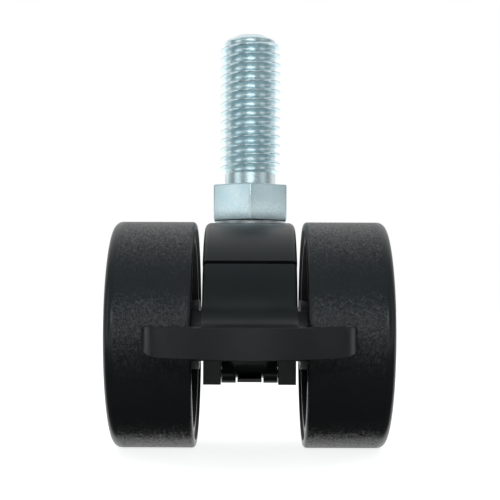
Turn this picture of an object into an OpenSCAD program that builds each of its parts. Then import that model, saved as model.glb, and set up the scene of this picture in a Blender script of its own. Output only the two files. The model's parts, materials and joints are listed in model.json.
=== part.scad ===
// Braked twin-wheel castor on a threaded stem, in millimetres.
// The origin is on the stem's axis at the top face of its hexagon. +Z runs up the stem,
// the axle lies along X, and the pedal points towards -Y.

/* [Stem] */
// Outside diameter of the threaded shank
thread_d = 10; // [9:0.5:11]
// Length from the hexagon to the tip
thread_len = 25; // [15:1:40]
// Diameter of the plain neck under the thread
neck_d = 8.4; // [7.5:0.1:8.8]
// Length of the plain neck
neck_len = 2; // [1:0.1:4]
// Diameter of the flat on the tip
tip_d = 5; // [3:0.1:7]
// Length of the lead-in cone at the tip
tip_len = 2.2; // [1:0.1:4]
// Hexagon across its flats
hex_af = 12; // [11:0.5:13.5]
// Height of the hexagon
hex_h = 6; // [4:0.5:9]
// Diameter of the spigot that turns in the housing
spigot_d = 7; // [6:0.1:7.4]
// Length of the spigot inside the housing
spigot_len = 13; // [11:0.5:14]

/* [Swivel] */
// Thickness of the thrust washer under the hexagon
washer_t = 0.8; // [0.6:0.1:2]
// Outside diameter of the thrust washer
washer_d = 11.6; // [9:0.1:12.4]
// Wire section of the snap ring on the spigot
stem_ring_t = 0.8; // [0.5:0.1:1]
// Distance from the ring's groove to the end of the spigot
stem_ring_up = 2; // [1.2:0.1:4]
// Distance from the stem's axis to the axle
trail = 12.5; // [11.5:0.1:15]

/* [Wheels] */
// Diameter of each wheel
wheel_d = 35; // [33:0.5:40]
// Width of each wheel
wheel_w = 12.5; // [11:0.5:16]
// Distance between the wheels' inner faces
wheel_gap = 16.5; // [16:0.1:18]
// Thickness of the rim under the tread
rim_t = 3; // [2:0.1:3.4]
// Rounding of the tread's outer edge
outer_round = 1.2; // [0.4:0.1:1.8]
// Rounding of the tread's inner edge
inner_round = 0.6; // [0.2:0.1:0.8]
// Thickness of the wheel's outer wall
wall_t = 2; // [1.2:0.1:3]
// Depth of the dish in the wheel's outer face
dish_depth = 0.6; // [0.2:0.1:1]
// Depth of the step on the inner side of the rim
rim_step = 0.4; // [0.2:0.1:0.8]
// Diameter of the hub
hub_d = 10.8; // [9:0.1:12]
// Diameter of the collar between hub and housing
collar_d = 7.2; // [6.4:0.1:8]
// Number of stiffening ribs behind the outer wall
rib_count = 8; // [4:1:12]
// Thickness of a stiffening rib
rib_t = 1.1; // [0.6:0.1:2]
// Depth of the stiffening ribs
rib_depth = 5; // [3:0.1:5.6]

/* [Axle] */
// Diameter of the axle
axle_d = 5; // [4:0.1:5.6]
// Thickness of the snap rings on the axle
axle_ring_t = 0.7; // [0.5:0.1:1]
// Depth of the groove for a snap ring, in the axle and in the spigot
ring_groove = 0.55; // [0.4:0.05:0.7]
// How far a snap ring stands out of its groove
ring_proud = 0.45; // [0.3:0.05:0.6]
// Distance from a groove to the end of the axle
axle_ring_up = 1.8; // [1.2:0.1:3]

/* [Housing] */
// Width of the housing
housing_w = 13.7; // [13:0.1:14.4]
// Thickness of each cheek
cheek_t = 2.6; // [2.2:0.1:2.8]
// Thickness of the hood
roof_t = 2.6; // [1.8:0.1:3]
// How far the hood lies under the tread
hood_inset = 0.2; // [0:0.1:1]
// Rise of the stem's pad above the hood
pad_rise = 0.2; // [0.1:0.1:0.6]
// Distance from the hood's crown back to the stem's pad
pad_back = 1.5; // [1:0.1:3]
// Angle of the hood's lower edge above the axle
seam_deg = 39.8; // [37:0.1:44]
// Distance from the axle to the front of the cheeks
cheek_front = 9.7; // [9:0.1:10.2]
// Depth of the cheeks under the axle
cheek_drop = 7.1; // [6.9:0.1:8]
// Distance from the axle back to the heel of the cheeks
heel_back = 6.9; // [6.6:0.1:7.4]
// Rounding of the housing's upper edges
edge_round = 0.8; // [0.3:0.1:1.2]
// Rounding of the stem boss's lower edge
boss_round = 2; // [0.5:0.1:3]
// Thickness of the floor under the spigot
socket_floor = 2; // [1:0.1:3]

/* [Brake] */
// Distance from the axle forward to the lever's pivot
pivot_fwd = 6.3; // [6:0.1:6.6]
// Distance from the axle down to the lever's pivot
pivot_drop = 3.7; // [3.4:0.1:3.8]
// Diameter of the pivot pin
pivot_d = 2.5; // [2:0.1:2.8]
// Turn of the lever from free to locked
lock_deg = 13; // [11:0.5:14]
// Width of the lever's upright
lever_w = 13.6; // [12.8:0.1:14]
// Thickness of the lever's upright
upright_t = 2.6; // [1.8:0.1:2.6]
// Angle of the upright's top edge above the axle
lever_top_deg = 37.8; // [30:0.1:37.8]
// Radius of the sweep from the upright to the pedal
sweep_r = 3.8; // [2:0.1:5]
// Width of the pedal
pedal_w = 28.9; // [24:0.1:34]
// Depth of the pedal in front of the wheels
pedal_depth = 8.3; // [6:0.1:10]
// Gap between the wheels and the pedal's wings
pedal_gap = 0.8; // [0.5:0.1:2]
// Height of the pedal's top above the axle
pedal_up = 1.65; // [1:0.05:2]
// Thickness of the pedal at its middle
pedal_t = 4.3; // [3.4:0.1:5]
// Rise of the pedal's lower edge from its middle to its ends
pedal_arch = 0.25; // [0.1:0.05:0.6]
// Radius of the pedal's front in plan
pedal_front_r = 22; // [18:0.5:40]
// Rounding of the pedal's ends in plan
pedal_end_r = 2.6; // [1:0.1:3]
// Rounding of the lower corners of the pedal's ends
pedal_corner_r = 1.4; // [0.5:0.1:2]
// Thickness of the pedal's skin over its hollow underside
pedal_skin = 1.7; // [1.2:0.1:2]
// Thickness of each of the lever's arms
arm_t = 2.05; // [1.6:0.05:2.1]
// Length of a brake shoe inside its wheel
shoe_len = 2.3; // [1:0.1:3]
// Thickness of a brake shoe
shoe_t = 2; // [1.4:0.1:2.4]
// Height of a brake shoe's top above the axle
shoe_up = 3.8; // [2.5:0.1:4.4]
// Depth of a brake shoe's foot below the axle
shoe_drop = 3.4; // [2:0.1:4]
// Thickness of the detent spring
spring_t = 0.5; // [0.3:0.05:0.6]
// Width of the detent spring
spring_w = 3.6; // [2.5:0.1:3.7]

/* [Clearances] */
// Radial clearance of a turning pin in its bore
run_fit = 0.06; // [0.03:0.01:0.1]
// Radial clearance of a pressed pin in its bore
press_fit = 0.02; // [0.01:0.01:0.03]
// Clearance between faces that turn past each other
face_gap = 0.15; // [0.1:0.05:0.2]
// Clearance of the shoes from the rim when locked
lock_gap = 0.15; // [0.1:0.05:0.3]

/* [Hidden] */
$fn = 96;

steel = "#b3c7cd";
dark_steel = "#8f979b";
housing_black = "#33383a";
lever_black = "#2a2f31";
wheel_black = "#2b3033";

// Overlap that lets joined shapes of one piece run into each other
lap = 1;
// Reach of a cutter that leaves its piece at both ends
through = 100;

wheel_r = wheel_d / 2;
drum_r = wheel_r - rim_t;
hood_r = wheel_r - hood_inset;
hood_inner_r = hood_r - roof_t;
housing_top = -hex_h - washer_t - face_gap / 2;
pad_r = hood_r + pad_rise;
axle_z = housing_top - pad_r;

spigot_r = spigot_d / 2;
spigot_top = -hex_h;
spigot_end = housing_top - spigot_len;
stem_ring_z = spigot_end + stem_ring_up + stem_ring_t / 2;
socket_end = spigot_end - face_gap * 2;
boss_end = socket_end - socket_floor;
boss_r = housing_w / 2;

axle_r = axle_d / 2;
inner_x = wheel_gap / 2;
outer_x = inner_x + wheel_w;
hub_x = housing_w / 2 + face_gap;
collar_end_x = inner_x - face_gap * 3;
wall_x = outer_x - dish_depth - wall_t;
bore_end_x = wall_x - face_gap;
axle_end_x = bore_end_x - face_gap * 2;
axle_ring_x = axle_end_x - axle_ring_up - axle_ring_t / 2;
axle_chamfer = 0.4;
dish_r = drum_r - lap / 2;
step_r = drum_r + rim_t * 0.62;

slot_w = housing_w - 2 * cheek_t;
arm_out = slot_w / 2 - face_gap;
arm_in = arm_out - arm_t;
slot_back = 5.5;
web_top = cheek_front * tan(seam_deg) + lap;
hood_end_deg = 90 + atan2(pad_back + lap, hood_r);
boss_w = boss_end - axle_z;

pivot = [pivot_fwd, -pivot_drop];
pivot_r = pivot_d / 2;
pivot_len = housing_w - face_gap;
knuckle_r = pivot_r + 1.25;
cam_flat = knuckle_r;
cam_r = knuckle_r + 0.25;

// Where the wheels' centre lies, seen from the lever, once the lever is locked
locked_axle = pivot - turned(pivot, lock_deg);
shoe_front_r = drum_r - lock_gap;
shoe_x = inner_x + shoe_len;
shoe_back = sqrt(shoe_front_r * shoe_front_r - shoe_up * shoe_up) + locked_axle[0] - shoe_t;
wing_back = wheel_r + pedal_gap;
pedal_reach = wing_back + pedal_depth;
pedal_low = pedal_up - pedal_t;
pedal_half = pedal_w / 2;
upright_in_r = hood_r - upright_t;
arm_low = -pedal_low - face_gap;

finger_r = 1.2;
finger_drop = 0.7;

spring_top = -pivot_drop - cam_flat - face_gap / 2;
spring_tip = cheek_front - 0.8;
spring_bend = 0.6;
spring_leg_up = 1;
spring_leg_x = -slot_back - 0.45;

// A point turned about the origin by an angle
function turned(p, deg) = [p[0] * cos(deg) - p[1] * sin(deg), p[0] * sin(deg) + p[1] * cos(deg)];

// Side view at the axle: x towards the pedal, y up, z across the castor towards -X
module side_view() {
    translate([0, -trail, axle_z]) rotate([90, 0, -90]) children();
}

// Half section of a band about the axle, from radius r0 to r1, with both outer edges rounded
module band_section(r0, r1, w, round_r) {
    translate([r0, -w / 2]) square([r1 - round_r - r0, w]);
    translate([r0, -w / 2 + round_r]) square([r1 - r0, w - 2 * round_r]);
    for (s = [-1, 1])
        translate([r1 - round_r, s * (w / 2 - round_r)]) circle(round_r);
}

// Open ring in a groove: inside radius, outside radius, thickness
module snap_ring(r0, r1, t) {
    linear_extrude(t, center = true) difference() {
        circle(r1);
        circle(r0);
        // the mouth that lets the ring spring open
        polygon([[0, 0], [through, -through / 2], [through, through / 2]]);
    }
}

module threaded_stem() {
    groove_r = spigot_r - ring_groove;
    color(steel) {
        rotate([0, 0, 30]) translate([0, 0, -hex_h]) cylinder(d = hex_af / cos(30), h = hex_h, $fn = 6);
        rotate_extrude() polygon([
            [0, -lap],
            [neck_d / 2, -lap],
            [neck_d / 2, neck_len],
            [thread_d / 2, neck_len + (thread_d - neck_d) / 2],
            [thread_d / 2, thread_len - tip_len],
            [tip_d / 2, thread_len],
            [0, thread_len]
        ]);
        rotate_extrude() difference() {
            translate([0, spigot_end]) square([spigot_r, spigot_top + lap - spigot_end]);
            translate([groove_r, stem_ring_z - stem_ring_t / 2 - press_fit])
                square([through, stem_ring_t + 2 * press_fit]);
        }
    }
}

module thrust_washer() {
    color(dark_steel) translate([0, 0, -hex_h - washer_t]) linear_extrude(washer_t) difference() {
        circle(washer_d / 2);
        circle(spigot_r + run_fit);
    }
}

module stem_snap_ring() {
    color(dark_steel) translate([0, 0, stem_ring_z])
        snap_ring(spigot_r - ring_groove + press_fit, spigot_r + ring_proud, stem_ring_t);
}

// Side outline of the cheeks and of the web that carries them from the stem boss
module cheek_outline() {
    polygon([
        [cheek_front, -cheek_drop],
        [cheek_front, web_top],
        [-trail, web_top],
        [-trail, boss_w],
        [-heel_back, -cheek_drop]
    ]);
}

module housing_solid() {
    root_r = web_top - lap;
    side_view() {
        // the hood, which runs on under the pad
        rotate([0, 0, seam_deg]) rotate_extrude(angle = hood_end_deg - seam_deg)
            band_section(root_r, hood_r, housing_w, edge_round);
        translate([-trail, 0, 0]) rotate([90, 0, 90]) linear_extrude(trail - pad_back)
            band_section(root_r, pad_r, housing_w, edge_round);
        linear_extrude(housing_w, center = true) cheek_outline();
    }
    // the round end of the boss, behind the stem's axis
    rotate_extrude(angle = 180) {
        translate([0, boss_end]) square([boss_r - boss_round, housing_top - boss_end]);
        translate([0, boss_end + boss_round]) square([boss_r, housing_top - boss_end - boss_round - edge_round]);
        translate([0, boss_end + boss_round]) square([boss_r - edge_round, housing_top - boss_end - boss_round]);
        translate([boss_r - boss_round, boss_end + boss_round]) circle(boss_round);
        translate([boss_r - edge_round, housing_top - edge_round]) circle(edge_round);
    }
}

module housing() {
    leg_w = spring_w + 2 * press_fit;
    color(housing_black) difference() {
        housing_solid();
        // the slot for the lever's arms
        side_view() linear_extrude(slot_w, center = true) intersection() {
            circle(hood_inner_r);
            translate([-slot_back, -through / 2]) square(through);
        }
        // bores for the axle and the lever's pin
        side_view() cylinder(r = axle_r + press_fit, h = through, center = true);
        side_view() translate(pivot) cylinder(r = pivot_r + press_fit, h = through, center = true);
        // the socket of the stem and the groove that holds its ring
        translate([0, 0, socket_end]) cylinder(r = spigot_r + run_fit, h = through);
        translate([0, 0, stem_ring_z]) cylinder(
            r = spigot_r + ring_proud + face_gap, h = stem_ring_t + 2 * face_gap, center = true);
        // the slit and the notch that hold the detent spring
        side_view() linear_extrude(leg_w, center = true) {
            translate([spring_leg_x - spring_t - press_fit, -through])
                square([spring_t + 2 * press_fit, through + spring_leg_up + press_fit]);
            translate([spring_leg_x - spring_t - press_fit, -through])
                square([spring_t + spring_bend + lap, through + spring_top + spring_bend]);
        }
    }
}

module axle() {
    color(steel) side_view() rotate_extrude() difference() {
        polygon([
            [0, -axle_end_x],
            [axle_r - axle_chamfer, -axle_end_x],
            [axle_r, -axle_end_x + axle_chamfer],
            [axle_r, axle_end_x - axle_chamfer],
            [axle_r - axle_chamfer, axle_end_x],
            [0, axle_end_x]
        ]);
        for (s = [-1, 1])
            translate([axle_r - ring_groove, s * axle_ring_x - axle_ring_t / 2 - press_fit])
                square([through, axle_ring_t + 2 * press_fit]);
    }
}

// side is 1 for the wheel at -X and -1 for the one at +X
module axle_ring(side) {
    color(dark_steel) side_view() translate([0, 0, side * axle_ring_x])
        snap_ring(axle_r - ring_groove + press_fit, axle_r + ring_proud, axle_ring_t);
}

module left_axle_ring() {
    axle_ring(1);
}

module right_axle_ring() {
    axle_ring(-1);
}

module brake_pivot_pin() {
    color(steel) side_view() translate(pivot) cylinder(r = pivot_r, h = pivot_len, center = true);
}

// Leaf under the lever's cam, bent up at the back into the housing
module detent_spring() {
    bend_out = spring_bend + spring_t;
    bend_x = spring_leg_x + spring_bend;
    bend_y = spring_top + spring_bend;
    color(dark_steel) side_view() linear_extrude(spring_w, center = true) {
        translate([bend_x, spring_top - spring_t]) square([spring_tip - bend_x, spring_t]);
        translate([spring_leg_x - spring_t, bend_y]) square([spring_t, spring_leg_up - bend_y]);
        intersection() {
            translate([bend_x, bend_y]) difference() {
                circle(bend_out);
                circle(spring_bend);
            }
            translate([bend_x - bend_out, bend_y - bend_out]) square(bend_out);
        }
    }
}

// Half section of a wheel: x is the radius, y the distance from the castor's middle
module wheel_section() {
    difference() {
        union() {
            // rim with its rounded tread edges
            translate([drum_r, inner_x + inner_round]) square([rim_t, wheel_w - inner_round - outer_round]);
            translate([drum_r, inner_x]) square([rim_t - inner_round, wheel_w]);
            translate([drum_r, outer_x - outer_round]) square([rim_t - outer_round, outer_round]);
            translate([wheel_r - inner_round, inner_x + inner_round]) circle(inner_round);
            translate([wheel_r - outer_round, outer_x - outer_round]) circle(outer_round);
            // outer wall, hub and the collar that runs against the housing
            translate([0, wall_x]) square([drum_r + lap, outer_x - wall_x]);
            translate([0, collar_end_x]) square([hub_d / 2, wall_x + lap - collar_end_x]);
            translate([0, hub_x]) square([collar_d / 2, collar_end_x + lap - hub_x]);
        }
        // the corner outside the outer rounding
        translate([wheel_r - outer_round, outer_x - outer_round]) difference() {
            square(outer_round + lap);
            circle(outer_round);
        }
        // the dish in the outer face, with a sloping edge
        polygon([
            [-lap, outer_x - dish_depth],
            [dish_r - dish_depth, outer_x - dish_depth],
            [dish_r + lap, outer_x + lap],
            [-lap, outer_x + lap]
        ]);
        // the step on the inner side of the rim
        translate([drum_r - lap, inner_x - lap]) square([step_r - drum_r + lap, rim_step + lap]);
        // the bore and the groove for the axle's ring
        translate([-lap, 0]) square([axle_r + run_fit + lap, bore_end_x]);
        translate([0, axle_ring_x - axle_ring_t / 2 - face_gap])
            square([axle_r + ring_proud + face_gap, axle_ring_t + 2 * face_gap]);
    }
}

module wheel_ribs() {
    for (i = [0 : rib_count - 1])
        rotate([0, 0, 360 * i / rib_count])
            translate([hub_d / 2 - lap / 2, -rib_t / 2, wall_x - rib_depth])
                cube([drum_r - hub_d / 2 + lap, rib_t, rib_depth + lap / 2]);
}

module wheel() {
    rotate_extrude() wheel_section();
    wheel_ribs();
}

module left_wheel() {
    color(wheel_black) side_view() wheel();
}

module right_wheel() {
    color(wheel_black) side_view() mirror([0, 0, 1]) wheel();
}

// Points along an arc, from one angle to another
function arc(centre, r, a0, a1, steps) = [
    for (i = [0 : steps]) centre + turned([r, 0], a0 + (a1 - a0) * i / steps)
];

// Outline of one of the lever's arms, with the finger that hangs in front of its pivot
module arm_outline() {
    finger = [cheek_front - face_gap - finger_r, -pivot_drop - knuckle_r - finger_drop + finger_r];
    polygon(concat(
        [[shoe_back + lap, -arm_low], [shoe_back + lap, shoe_up]],
        arc(pivot, knuckle_r, 130, 260, 12),
        arc(finger, finger_r, -90, 20, 8),
        [pivot + turned([knuckle_r, 0], 25)]
    ));
}

// Cam between the arms: one flat for free and one for locked
module cam_outline() {
    difference() {
        translate(pivot) circle(cam_r);
        for (a = [0, lock_deg])
            translate(pivot) rotate(a) translate([-cam_r, -2 * cam_r - cam_flat]) square(2 * cam_r);
    }
}

// Bar that ends in the two brake shoes, its front shaped to the rim where the lever is locked
module shoe_outline() {
    intersection() {
        translate(locked_axle) circle(shoe_front_r);
        translate([shoe_back, -shoe_drop]) square([through, shoe_drop + shoe_up]);
    }
}

// Takes the corner outside a rounding off its children: its centre, radius and two tangent directions
module trim_corner(centre, r, a0, a1) {
    mid = (a0 + a1) / 2;
    far = 3 * r;
    difference() {
        children();
        translate(centre) difference() {
            polygon([[0, 0], turned([far, 0], a0), turned([far, 0], mid), turned([far, 0], a1)]);
            circle(r);
        }
    }
}

// Plan of the pedal's curved front and wings: x across, y forward from the axle
module pedal_plan(inset, back) {
    front_r = pedal_front_r - inset;
    end_r = max(pedal_end_r - inset, lap / 4);
    centre_y = pedal_reach - pedal_front_r;
    half = pedal_half - inset;
    end_x = half - end_r;
    end_y = centre_y + sqrt(pow(front_r - end_r, 2) - end_x * end_x);
    tangent = atan2(end_y - centre_y, end_x);
    trim_corner([end_x, end_y], end_r, 0, tangent)
    trim_corner([-end_x, end_y], end_r, 180 - tangent, 180)
    intersection() {
        translate([0, centre_y]) circle(front_r);
        translate([-half, back]) square([2 * half, through]);
    }
}

// Front view of the pedal: level top, lower edge lowest at the middle, lower corners rounded
module pedal_front() {
    end_low = pedal_low + pedal_arch;
    corner_x = pedal_half - pedal_corner_r;
    corner_y = end_low + pedal_corner_r;
    trim_corner([corner_x, corner_y], pedal_corner_r, -90, 0)
    trim_corner([-corner_x, corner_y], pedal_corner_r, 180, 270)
    polygon([
        [-pedal_half, pedal_up],
        [-pedal_half, end_low],
        [0, pedal_low],
        [pedal_half, end_low],
        [pedal_half, pedal_up]
    ]);
}

module pedal() {
    pocket_back = wing_back + pedal_skin;
    rib_x = arm_out - arm_t / 2;
    translate([0, -trail, axle_z]) mirror([0, 1, 0]) {
        difference() {
            intersection() {
                translate([0, 0, pedal_low - lap]) linear_extrude(pedal_t + 2 * lap) pedal_plan(0, wing_back);
                translate([0, through, 0]) rotate([90, 0, 0]) linear_extrude(through) pedal_front();
            }
            // the hollow underside, with ribs in line with the arms
            translate([0, 0, pedal_low - lap]) linear_extrude(pedal_t + lap - pedal_skin) difference() {
                pedal_plan(pedal_skin, pocket_back);
                for (s = [-1, 1])
                    translate([s * rib_x - pedal_skin / 2, 0]) square([pedal_skin, through]);
            }
        }
        // the root that joins the wings to the upright
        translate([-lever_w / 2, upright_in_r, pedal_low])
            cube([lever_w, wing_back + lap / 2 - upright_in_r, pedal_t]);
    }
}

module brake_lever() {
    sweep_y = pedal_up + sweep_r;
    sweep_x = sqrt(pow(hood_r + sweep_r, 2) - sweep_y * sweep_y);
    sweep_deg = atan2(sweep_y, sweep_x);
    color(lever_black) difference() {
        union() {
            pedal();
            side_view() {
                rotate_extrude(angle = lever_top_deg)
                    band_section(upright_in_r, hood_r, lever_w, edge_round);
                // the hollow sweep from the upright down to the pedal's top
                linear_extrude(lever_w, center = true) difference() {
                    polygon([
                        [sweep_x, pedal_up - lap],
                        [sweep_x, sweep_y],
                        turned([hood_r - lap, 0], sweep_deg),
                        [upright_in_r + lap, pedal_up - lap]
                    ]);
                    translate([sweep_x, sweep_y]) circle(sweep_r);
                }
                for (s = [-1, 1])
                    translate([0, 0, s * (arm_in + arm_t / 2)]) linear_extrude(arm_t, center = true)
                        arm_outline();
                linear_extrude(2 * arm_in + lap, center = true) cam_outline();
                linear_extrude(2 * shoe_x, center = true) shoe_outline();
                // the block that ties the shoe bar to the upright
                translate([shoe_back, pedal_low, -lever_w / 2])
                    cube([upright_in_r + lap - shoe_back, shoe_up - pedal_low, lever_w]);
            }
        }
        side_view() translate(pivot) cylinder(r = pivot_r + run_fit, h = through, center = true);
    }
}

threaded_stem();
thrust_washer();
stem_snap_ring();
housing();
axle();
left_axle_ring();
right_axle_ring();
brake_pivot_pin();
detent_spring();
left_wheel();
right_wheel();
brake_lever();
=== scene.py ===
import json
import math

import bmesh
import bpy
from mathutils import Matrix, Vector


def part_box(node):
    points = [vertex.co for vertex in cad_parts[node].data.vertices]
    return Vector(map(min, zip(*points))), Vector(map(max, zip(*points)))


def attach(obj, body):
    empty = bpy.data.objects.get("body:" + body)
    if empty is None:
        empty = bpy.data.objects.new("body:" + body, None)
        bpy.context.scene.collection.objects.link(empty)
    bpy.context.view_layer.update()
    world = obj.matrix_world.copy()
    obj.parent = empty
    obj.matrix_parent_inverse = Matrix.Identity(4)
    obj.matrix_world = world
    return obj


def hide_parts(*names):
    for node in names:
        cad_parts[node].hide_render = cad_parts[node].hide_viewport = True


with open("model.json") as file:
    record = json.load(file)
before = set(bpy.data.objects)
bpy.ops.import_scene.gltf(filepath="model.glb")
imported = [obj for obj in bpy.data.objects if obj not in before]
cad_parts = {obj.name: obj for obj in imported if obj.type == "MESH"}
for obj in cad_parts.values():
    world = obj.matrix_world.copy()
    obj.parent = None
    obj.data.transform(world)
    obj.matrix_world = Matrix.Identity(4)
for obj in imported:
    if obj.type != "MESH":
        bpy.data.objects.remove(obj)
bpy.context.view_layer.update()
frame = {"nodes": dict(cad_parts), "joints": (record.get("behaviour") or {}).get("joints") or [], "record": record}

# Lengths are in metres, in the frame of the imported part: +Z up the stem, X along the axle, -Y to the pedal
MM = 0.001

NODES = frame["nodes"]
JOINTS = {joint["name"]: joint for joint in frame["joints"]}
MOUNTS = {mount["name"]: mount for mount in frame["record"]["mounts"]}

# Places and sizes that the frame gives
AXLE = Vector(JOINTS["left_wheel_spin"]["pos_m"])
STEM_LOW, STEM_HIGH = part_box("threaded_stem")
WHEEL_LOW, WHEEL_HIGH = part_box("right_wheel")
WHEEL_R = (WHEEL_HIGH.z - WHEEL_LOW.z) / 2
FLOOR_Z = WHEEL_LOW.z
HEX_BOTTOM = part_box("thrust_washer")[1].z
HEX_CORNER_R = STEM_HIGH.y
THREAD_R = MOUNTS["stem"]["dims"]["r_mm"] * MM

# Stem
THREAD_PITCH = 1.5 * MM
THREAD_DEPTH = 0.92 * MM
CREST_SHARE = 0.11
ROOT_SHARE = 0.22
FLANK_STRAIGHT = 0.7
NECK_R = 4.2 * MM
NECK_TOP = 2.0 * MM
TIP_R = 2.3 * MM
TIP_LEN = 2.0 * MM
SHOULDER_R = 4.0 * MM
DOME_H = 0.8 * MM
SPIGOT_R = 3.5 * MM
GROOVE_R = 2.95 * MM
GROOVE_LOW = 2.0 * MM
GROOVE_W = 0.84 * MM
HEX_EDGE = 0.22 * MM
SHELL_LAP = 1.0 * MM
TURN_STEPS = 96
PITCH_STEPS = 18

# Mouldings
MOULD_EDGE = 0.16 * MM
EDGE_STEPS = 3
SHARP_DEG = 32
MERGE_DIST = 0.002 * MM
FLAT_DEG = 0.4
WING_ROOT = 7.2 * MM
WING_END = 14.95 * MM
# the pedal's front arc in plan, and the corners at its ends
PEDAL_ARC_Y = -17.14 * MM
PEDAL_ARC_R = 21.97 * MM
PEDAL_BACK = -31 * MM
SKIRT = 1.3 * MM
CORNER_INSET = 1.0 * MM
CORNER_OPEN = 1.69
CORNER_REACH = 3.0 * MM

# Wheels
GRAIN_END = 1.5 * MM
GRAIN_SKIN = 0.12 * MM
GRAIN_SIZE = 0.2 * MM
GRAIN_TILT = 0.28
TREAD_ROUGH = 0.37
RIM_ROUGH = 0.3

# Sizes and depths of the finishes' texture
PLASTIC_CLOUD = 3.5 * MM
PLASTIC_ETCH = 0.16 * MM
PLASTIC_ETCH_DEPTH = 0.006 * MM
WHEEL_CLOUD = 4 * MM
WHEEL_ETCH = 0.15 * MM
WHEEL_ETCH_DEPTH = 0.004 * MM
ZINC_CLOUD = 2.6 * MM
ZINC_PORES = 0.12 * MM
STEEL_CLOUD = 2 * MM
STEEL_RING_DEPTH = 0.004 * MM
# rings to the metre along the lathe's axis, and how far they waver across it
STEEL_RINGS = 9000.0
STEEL_WAVER = 60.0

# Floor: a dark strip lies in front of the wheels, between two pale parts
FLOOR_REACH = 2.0
STRIP_START = 7.5 * MM
STRIP_DEPTH = 90 * MM
FLOOR_BOUNCE = 0.8
FLOOR_ROUGH = 0.9
FLOOR_GLOW = 0.82
FLOOR_SHADOW = 0.7
STRIP_BOUNCE = 0.02
STRIP_MIRRORED = 0.08
FRONT_MIRRORED = 0.6

# Room, as radiance where 1 is white
ROOM_LOW = 0.2
ROOM_HIGH = 0.45
ROOM_COLOUR = (0.88, 0.97, 1.0, 1)
BACKDROP = 0.8

# Lamps: place, width, height, radiance where 1 is white, and colour
LAMPS = {
    "top": ((0, 0.2, 0.55), 0.9, 0.6, 0.2, (1, 1, 1)),
    "front": ((0, -0.52, 0.14), 0.3, 0.09, 4.2, (0.94, 1.0, 1.02)),
    "low": ((0, -0.62, -0.01), 0.4, 0.05, 0.65, (1, 1, 1)),
    "left": ((-0.45, -0.26, 0.1), 0.25, 0.4, 0.9, (0.9, 0.98, 1.0)),
    "right": ((0.45, -0.26, 0.1), 0.25, 0.4, 0.5, (0.92, 0.98, 1.0)),
}

# Camera
CAMERA_X = 0.03 * MM
CAMERA_DISTANCE = 172.4 * MM
CAMERA_RISE = 5.4 * MM
CAMERA_LENS = 79.56
CAMERA_SENSOR = 36
CAMERA_NEAR = 0.01
CAMERA_SHIFT = 0.1
CAMERA_ROLL_DEG = -0.2


# Shader helpers

def add(tree, kind, inputs=None, **settings):
    """Adds a node, sets its options and fills its inputs with values or with other nodes' outputs."""
    node = tree.nodes.new(kind)
    for key, value in settings.items():
        setattr(node, key, value)
    for key, value in (inputs or {}).items():
        if isinstance(value, bpy.types.NodeSocket):
            tree.links.new(value, node.inputs[key])
        else:
            node.inputs[key].default_value = value
    return node


def maths(tree, operation, a, b=0.0):
    return add(tree, "ShaderNodeMath", {0: a, 1: b}, operation=operation).outputs[0]


def vectors(tree, operation, a, b=(0, 0, 0)):
    return add(tree, "ShaderNodeVectorMath", {0: a, 1: b}, operation=operation).outputs[0]


def remap(tree, value, low, high, to_low, to_high):
    """A value taken smoothly from one range to another."""
    node = add(
        tree,
        "ShaderNodeMapRange",
        {"Value": value, "From Min": low, "From Max": high, "To Min": to_low, "To Max": to_high},
        interpolation_type="SMOOTHSTEP",
    )
    return node.outputs["Result"]


def noise(tree, vector, grain, detail=2.0, rough=0.5):
    """Noise whose lumps are about one grain wide, in metres."""
    node = add(
        tree,
        "ShaderNodeTexNoise",
        {"Vector": vector, "Scale": 1 / grain, "Detail": detail, "Roughness": rough},
    )
    return node.outputs["Fac"]


def tint(tree, value, low, high):
    """A colour between two, by a value from 0 to 1."""
    ramp = add(tree, "ShaderNodeValToRGB", {"Fac": value})
    ramp.color_ramp.elements[0].position = 0.3
    ramp.color_ramp.elements[1].position = 0.7
    ramp.color_ramp.elements[0].color = (*low, 1)
    ramp.color_ramp.elements[1].color = (*high, 1)
    return ramp.outputs["Color"]


def bump(tree, height, distance):
    inputs = {"Height": height, "Distance": distance, "Strength": 1.0}
    return add(tree, "ShaderNodeBump", inputs).outputs["Normal"]


def new_material(name):
    """A material with its shader and the coordinates that stay with the piece."""
    material = bpy.data.materials.new(name)
    material.use_nodes = True
    tree = material.node_tree
    shader = tree.nodes["Principled BSDF"]
    coords = add(tree, "ShaderNodeTexCoord").outputs["Object"]
    return material, tree, shader, coords


def link(tree, shader, **outputs):
    for key, output in outputs.items():
        tree.links.new(output, shader.inputs[key.replace("_", " ")])


# Finishes

def moulded_plastic(name, dark, light, rough, level):
    """Black plastic from a polished and lightly etched mould."""
    material, tree, shader, coords = new_material(name)
    cloud = noise(tree, coords, PLASTIC_CLOUD, detail=4)
    etch = noise(tree, coords, PLASTIC_ETCH, detail=3, rough=0.6)
    link(
        tree,
        shader,
        Base_Color=tint(tree, cloud, dark, light),
        Roughness=remap(tree, cloud, 0.25, 0.75, rough - 0.05, rough + 0.05),
        Normal=bump(tree, etch, PLASTIC_ETCH_DEPTH),
    )
    shader.inputs["Specular IOR Level"].default_value = level
    return material


def facets(tree, coords, amount, normal):
    """A normal that leans its own way on each small grain."""
    inputs = {"Vector": coords, "Scale": 1 / GRAIN_SIZE, "Randomness": 1.0}
    cells = add(tree, "ShaderNodeTexVoronoi", inputs).outputs["Color"]
    lean = vectors(tree, "SUBTRACT", cells, (0.5, 0.5, 0.5))
    tilt = maths(tree, "MULTIPLY", amount, GRAIN_TILT)
    lean = add(tree, "ShaderNodeVectorMath", {0: lean, "Scale": tilt}, operation="SCALE").outputs[0]
    return vectors(tree, "NORMALIZE", vectors(tree, "ADD", normal, lean))


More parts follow.
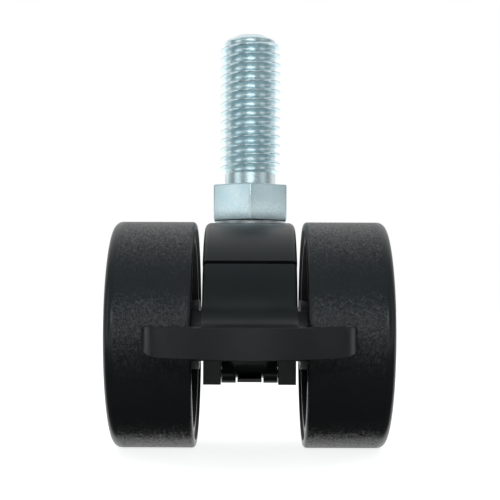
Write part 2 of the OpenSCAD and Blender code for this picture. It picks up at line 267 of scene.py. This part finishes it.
def tread_plastic(name, dark, light, level):
    """Black plastic with a sparkling grain on the tread and a plain finish elsewhere."""
    material, tree, shader, coords = new_material(name)
    x, y, z = add(tree, "ShaderNodeSeparateXYZ", {"Vector": coords}).outputs
    across = maths(tree, "SUBTRACT", y, AXLE.y)
    up = maths(tree, "SUBTRACT", z, AXLE.z)
    squares = [maths(tree, "POWER", offset, 2) for offset in (across, up)]
    radius = maths(tree, "SQRT", maths(tree, "ADD", *squares))
    on_tread = remap(tree, radius, WHEEL_R - 2 * GRAIN_SKIN, WHEEL_R - GRAIN_SKIN, 0, 1)
    grain_edge = WHEEL_HIGH.x - GRAIN_END
    outward = maths(tree, "ABSOLUTE", x)
    inside = remap(tree, outward, grain_edge - GRAIN_SKIN, grain_edge + GRAIN_SKIN, 1, 0)
    grained = maths(tree, "MULTIPLY", on_tread, inside)
    cloud = noise(tree, coords, WHEEL_CLOUD, detail=4)
    etch = noise(tree, coords, WHEEL_ETCH, detail=2)
    link(
        tree,
        shader,
        Base_Color=tint(tree, cloud, dark, light),
        Roughness=remap(tree, grained, 0, 1, RIM_ROUGH, TREAD_ROUGH),
        Normal=facets(tree, coords, grained, bump(tree, etch, WHEEL_ETCH_DEPTH)),
    )
    shader.inputs["Specular IOR Level"].default_value = level
    return material


def zinc_plate(name, cool, warm, rough, grit):
    """Bright zinc plate with faint blue and straw clouds."""
    material, tree, shader, coords = new_material(name)
    cloud = noise(tree, coords, ZINC_CLOUD, detail=3)
    pores = noise(tree, coords, ZINC_PORES, detail=3, rough=0.65)
    link(
        tree,
        shader,
        Base_Color=tint(tree, cloud, cool, warm),
        Roughness=remap(tree, pores, 0.3, 0.7, rough - 0.06, rough + 0.08),
        Normal=bump(tree, pores, grit),
    )
    shader.inputs["Metallic"].default_value = 1.0
    return material


def turned_steel(name, dark, light, rough, lathe_axis):
    """Plain steel with the fine rings that turning leaves."""
    material, tree, shader, coords = new_material(name)
    stretch = [STEEL_WAVER] * 3
    stretch["XYZ".index(lathe_axis)] = STEEL_RINGS
    rings = vectors(tree, "MULTIPLY", coords, stretch)
    lines = noise(tree, rings, 1.0, detail=2)
    cloud = noise(tree, coords, STEEL_CLOUD, detail=3)
    link(
        tree,
        shader,
        Base_Color=tint(tree, cloud, dark, light),
        Roughness=remap(tree, lines, 0.3, 0.7, rough - 0.06, rough + 0.06),
        Normal=bump(tree, lines, STEEL_RING_DEPTH),
    )
    shader.inputs["Metallic"].default_value = 1.0
    return material


# Pieces

def new_piece(name, mesh, node, body, slot, *materials):
    """An object that stands for a CAD node and rides on its body."""
    piece = bpy.data.objects.new(name, mesh)
    bpy.context.scene.collection.objects.link(piece)
    mesh.materials.clear()
    for material in materials:
        mesh.materials.append(material)
    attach(piece, body)
    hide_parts(node)
    return piece


def smooth(mesh, sharp_deg):
    mesh.shade_smooth()
    mesh.set_sharp_from_angle(angle=math.radians(sharp_deg))


def ring(z, radius_at):
    """Points round the stem's axis at one height."""
    angles = [math.tau * k / TURN_STEPS for k in range(TURN_STEPS)]
    return [(radius_at(a) * math.cos(a), radius_at(a) * math.sin(a), z) for a in angles]


def add_shell(bm, rings):
    """A closed skin through rings of points, capped at both ends."""
    rows = [[bm.verts.new(point) for point in points] for points in rings]
    count = len(rows[0])
    for low, high in zip(rows, rows[1:]):
        for k in range(count):
            after = (k + 1) % count
            bm.faces.new((low[k], low[after], high[after], high[k]))
    bm.faces.new(rows[0][::-1])
    bm.faces.new(rows[-1])


def thread_radius(z, angle):
    """Radius of the right-handed thread, run out at the neck and cut by the cone at the tip."""
    share = (z / THREAD_PITCH - angle / math.tau) % 1.0
    from_crest = abs(share - 0.5)
    flank = (from_crest - CREST_SHARE / 2) / (0.5 - CREST_SHARE / 2 - ROOT_SHARE / 2)
    flank = min(max(flank, 0.0), 1.0)
    rounded = flank * flank * (3 - 2 * flank)
    depth = THREAD_DEPTH * (FLANK_STRAIGHT * flank + (1 - FLANK_STRAIGHT) * rounded)
    run_out = NECK_R + max(z - NECK_TOP, 0)
    below_tip = STEM_HIGH.z - z
    dome = TIP_R + (SHOULDER_R - TIP_R) * below_tip / DOME_H
    lead_in = SHOULDER_R + (THREAD_R - SHOULDER_R) * (below_tip - DOME_H) / (TIP_LEN - DOME_H)
    return min(THREAD_R - depth, run_out, dome, lead_in)


def make_stem(body_finish, edge_highlight_finish):
    bm = bmesh.new()
    # the hexagon, with softened edges
    hexagon = bmesh.ops.create_cone(
        bm, cap_ends=True, segments=6, radius1=HEX_CORNER_R, radius2=HEX_CORNER_R, depth=-HEX_BOTTOM
    )
    bmesh.ops.translate(bm, verts=hexagon["verts"], vec=(0, 0, HEX_BOTTOM / 2))
    # the bevel faces take the second finish, whose paler zinc is a painted edge highlight
    bmesh.ops.bevel(
        bm, geom=bm.edges[:], offset=HEX_EDGE, segments=EDGE_STEPS, profile=0.5, affect="EDGES", material=1
    )
    # the spigot and the groove for its ring
    groove = STEM_LOW.z + GROOVE_LOW
    spigot = [
        (STEM_LOW.z, SPIGOT_R),
        (groove, SPIGOT_R),
        (groove, GROOVE_R),
        (groove + GROOVE_W, GROOVE_R),
        (groove + GROOVE_W, SPIGOT_R),
        (HEX_BOTTOM + SHELL_LAP, SPIGOT_R),
    ]
    add_shell(bm, [ring(z, lambda angle, r=r: r) for z, r in spigot])
    # the neck and the thread
    rows = round((STEM_HIGH.z - NECK_TOP) / THREAD_PITCH * PITCH_STEPS)
    heights = [NECK_TOP + (STEM_HIGH.z - NECK_TOP) * k / rows for k in range(rows + 1)]
    neck = ring(-SHELL_LAP, lambda angle: NECK_R)
    thread = [ring(z, lambda angle, z=z: thread_radius(z, angle)) for z in heights]
    add_shell(bm, [neck, *thread])
    mesh = bpy.data.meshes.new("cut_stem")
    bm.to_mesh(mesh)
    bm.free()
    smooth(mesh, SHARP_DEG)
    new_piece("cut_stem", mesh, "threaded_stem", "stem", "zinc_steel", body_finish, edge_highlight_finish)


def pedal_front(x):
    """The y of the pedal's front arc."""
    return PEDAL_ARC_Y - math.sqrt(PEDAL_ARC_R ** 2 - x * x)


def round_end(half, x, y):
    """Opens the corner at a wing's end to a wider radius, along the pedal's front arc."""
    inset = half - x
    corner = CORNER_INSET * CORNER_OPEN
    if inset < CORNER_INSET:
        wider = inset * CORNER_OPEN
        rise = (y - pedal_front(half - CORNER_INSET)) * CORNER_OPEN
        front = pedal_front(half - corner) + rise
    else:
        squeeze = (CORNER_REACH - corner) / (CORNER_REACH - CORNER_INSET)
        wider = corner + (inset - CORNER_INSET) * squeeze
        front = pedal_front(half - wider)
    return half - wider, y if y > PEDAL_BACK else front


def widen_wings(bm):
    """Draws the pedal's wings out to their full width and rounds their ends."""
    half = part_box("brake_lever")[1].x
    stretch = (WING_END - WING_ROOT) / (half - WING_ROOT)
    for vert in bm.verts:
        x = abs(vert.co.x)
        y = vert.co.y
        if y > AXLE.y - WHEEL_R or x < WING_ROOT:
            continue
        outside = math.hypot(x, y - PEDAL_ARC_Y) > PEDAL_ARC_R - SKIRT
        if half - x < CORNER_REACH and (outside or y > PEDAL_BACK):
            x, vert.co.y = round_end(half, x, y)
        vert.co.x = math.copysign(WING_ROOT + (x - WING_ROOT) * stretch, vert.co.x)


def make_moulding(name, node, body, slot, finish, reshape=None):
    """A CAD node's own form with its sharp edges softened, as a mould leaves them."""
    mesh = NODES[node].data.copy()
    # the import's own normals don't hold once faces merge
    imported = mesh.attributes.get("custom_normal")
    if imported:
        mesh.attributes.remove(imported)
    bm = bmesh.new()
    bm.from_mesh(mesh)
    bmesh.ops.remove_doubles(bm, verts=bm.verts[:], dist=MERGE_DIST)
    flat = math.radians(FLAT_DEG)
    bmesh.ops.dissolve_limit(bm, angle_limit=flat, verts=bm.verts[:], edges=bm.edges[:])
    if reshape:
        reshape(bm)
    bm.to_mesh(mesh)
    bm.free()
    smooth(mesh, SHARP_DEG)
    piece = new_piece(name, mesh, node, body, slot, finish)
    edges = piece.modifiers.new("soft_edges", "BEVEL")
    edges.width = MOULD_EDGE
    edges.segments = EDGE_STEPS
    edges.limit_method = "ANGLE"
    edges.angle_limit = math.radians(SHARP_DEG)
    edges.harden_normals = True


def dress(node, finish):
    materials = NODES[node].data.materials
    materials.clear()
    materials.append(finish)


# Studio

def softbox(name, target, place, width, height, radiance, colour):
    """A rectangular lamp whose face has the given radiance, where 1 is white."""
    data = bpy.data.lights.new(name, "AREA")
    data.shape = "RECTANGLE"
    data.size = width
    data.size_y = height
    data.energy = radiance * math.pi * width * height
    data.color = colour
    lamp = bpy.data.objects.new(name, data)
    bpy.context.scene.collection.objects.link(lamp)
    lamp.location = place
    lamp.rotation_euler = (Vector(target) - Vector(place)).to_track_quat("-Z", "Y").to_euler()
    lamp.visible_camera = False


def floor_part(name, y0, y1, bounce, mirrored):
    x = FLOOR_REACH
    corners = [(-x, y0, FLOOR_Z), (x, y0, FLOOR_Z), (x, y1, FLOOR_Z), (-x, y1, FLOOR_Z)]
    mesh = bpy.data.meshes.new(name)
    mesh.from_pydata(corners, [], [(0, 1, 2, 3)])
    mesh.materials.append(floor_finish(name, bounce, mirrored))
    sheet = bpy.data.objects.new(name, mesh)
    bpy.context.scene.collection.objects.link(sheet)


def floor_finish(name, bounce, mirrored):
    """White with the object's shadow to the camera and, by the share mirrored, to reflections."""
    material, tree, shader, _ = new_material(name)
    shader.inputs["Base Color"].default_value = (bounce, bounce, bounce, 1)
    shader.inputs["Roughness"].default_value = FLOOR_ROUGH
    shader.inputs["Specular IOR Level"].default_value = 0.0
    glow = add(tree, "ShaderNodeEmission", {"Strength": FLOOR_GLOW}).outputs[0]
    grey = (FLOOR_SHADOW, FLOOR_SHADOW, FLOOR_SHADOW, 1)
    shadow = add(tree, "ShaderNodeBsdfDiffuse", {"Color": grey}).outputs[0]
    white = add(tree, "ShaderNodeAddShader", {0: glow, 1: shadow}).outputs[0]
    path = add(tree, "ShaderNodeLightPath").outputs
    reflected = maths(tree, "MULTIPLY", path["Is Glossy Ray"], mirrored)
    seen = maths(tree, "MAXIMUM", path["Is Camera Ray"], reflected)
    out = add(tree, "ShaderNodeMixShader", {"Fac": seen, 1: shader.outputs[0], 2: white}).outputs[0]
    tree.links.new(out, tree.nodes["Material Output"].inputs["Surface"])
    return material


def make_world():
    """A white backdrop behind the object and a dimmer room on the camera's side."""
    world = bpy.data.worlds.new("studio")
    bpy.context.scene.world = world
    world.use_nodes = True
    tree = world.node_tree
    tree.nodes.clear()
    direction = add(tree, "ShaderNodeTexCoord").outputs["Generated"]
    _, y, z = add(tree, "ShaderNodeSeparateXYZ", {"Vector": direction}).outputs
    behind = remap(tree, y, 0.0, 0.6, 0, BACKDROP)
    above = remap(tree, z, 0.4, 1.0, ROOM_LOW, ROOM_HIGH)
    room = add(tree, "ShaderNodeBackground", {"Color": ROOM_COLOUR, "Strength": above}).outputs[0]
    white = add(tree, "ShaderNodeBackground", {"Color": (1, 1, 1, 1), "Strength": 1.0}).outputs[0]
    camera = add(tree, "ShaderNodeLightPath").outputs["Is Camera Ray"]
    shown = maths(tree, "MAXIMUM", camera, behind)
    out = add(tree, "ShaderNodeMixShader", {"Fac": shown, 1: room, 2: white}).outputs[0]
    tree.links.new(out, add(tree, "ShaderNodeOutputWorld").inputs["Surface"])


def make_studio():
    make_world()
    near = AXLE.y - STRIP_START
    far = near - STRIP_DEPTH
    floor_part("floor", near, FLOOR_REACH, FLOOR_BOUNCE, 1)
    # the strip keeps the floor's bounce off the front of the wheels
    floor_part("dark_floor", far, near, STRIP_BOUNCE, STRIP_MIRRORED)
    floor_part("front_floor", -FLOOR_REACH, far, FLOOR_BOUNCE, FRONT_MIRRORED)
    for name, lamp in LAMPS.items():
        softbox(name, AXLE, *lamp)


def make_camera():
    data = bpy.data.cameras.new("camera")
    data.lens = CAMERA_LENS
    data.sensor_width = CAMERA_SENSOR
    data.shift_y = CAMERA_SHIFT
    data.clip_start = CAMERA_NEAR
    camera = bpy.data.objects.new("camera", data)
    bpy.context.scene.collection.objects.link(camera)
    camera.location = (CAMERA_X, AXLE.y - CAMERA_DISTANCE, AXLE.z + CAMERA_RISE)
    camera.rotation_euler = (math.radians(90), math.radians(CAMERA_ROLL_DEG), 0)
    bpy.context.scene.camera = camera


zinc = zinc_plate("zinc", (0.66, 0.82, 0.87), (0.77, 0.89, 0.91), 0.3, 0.006 * MM)
# paler and glossier zinc for the hex's bevelled edges: the paler colour is a painted highlight, the lower
# roughness and coarser grit are the edge's finish
zinc_edge_painted_highlight = zinc_plate("zinc_edge_painted_highlight", (0.82, 0.88, 0.9), (0.9, 0.93, 0.94), 0.24, 0.03 * MM)
rod_steel = turned_steel("rod_steel", (0.46, 0.48, 0.49), (0.56, 0.58, 0.59), 0.3, "X")
ring_steel = turned_steel("ring_steel", (0.4, 0.42, 0.43), (0.52, 0.54, 0.55), 0.36, "Z")
leaf_steel = turned_steel("leaf_steel", (0.07, 0.07, 0.068), (0.1, 0.1, 0.098), 0.36, "Y")
housing_black = moulded_plastic(
    "housing_black", (0.014, 0.017, 0.018), (0.018, 0.0215, 0.0225), rough=0.36, level=0.41
)
# the same black plastic as the housing, made darker: painted shade that dims the pedal's face under the front lamp
lever_black = moulded_plastic(
    "lever_black", (0.008, 0.0105, 0.0115), (0.0105, 0.0135, 0.0145), rough=0.36, level=0.4
)
wheel_black = tread_plastic("wheel_black", (0.013, 0.0155, 0.0175), (0.017, 0.0195, 0.0215), level=0.45)

make_stem(zinc, zinc_edge_painted_highlight)
make_moulding("housing_moulding", "housing", "housing", "housing_plastic", housing_black)
make_moulding("lever_moulding", "brake_lever", "brake_lever", "lever_plastic", lever_black, widen_wings)
for wheel in ("left_wheel", "right_wheel"):
    dress(wheel, wheel_black)
for rod in ("axle", "brake_pivot_pin", "left_axle_ring", "right_axle_ring"):
    dress(rod, rod_steel)
for washer in ("thrust_washer", "stem_snap_ring"):
    dress(washer, ring_steel)
dress("detent_spring", leaf_steel)

make_studio()
make_camera()
bpy.context.scene.view_settings.view_transform = "Standard"
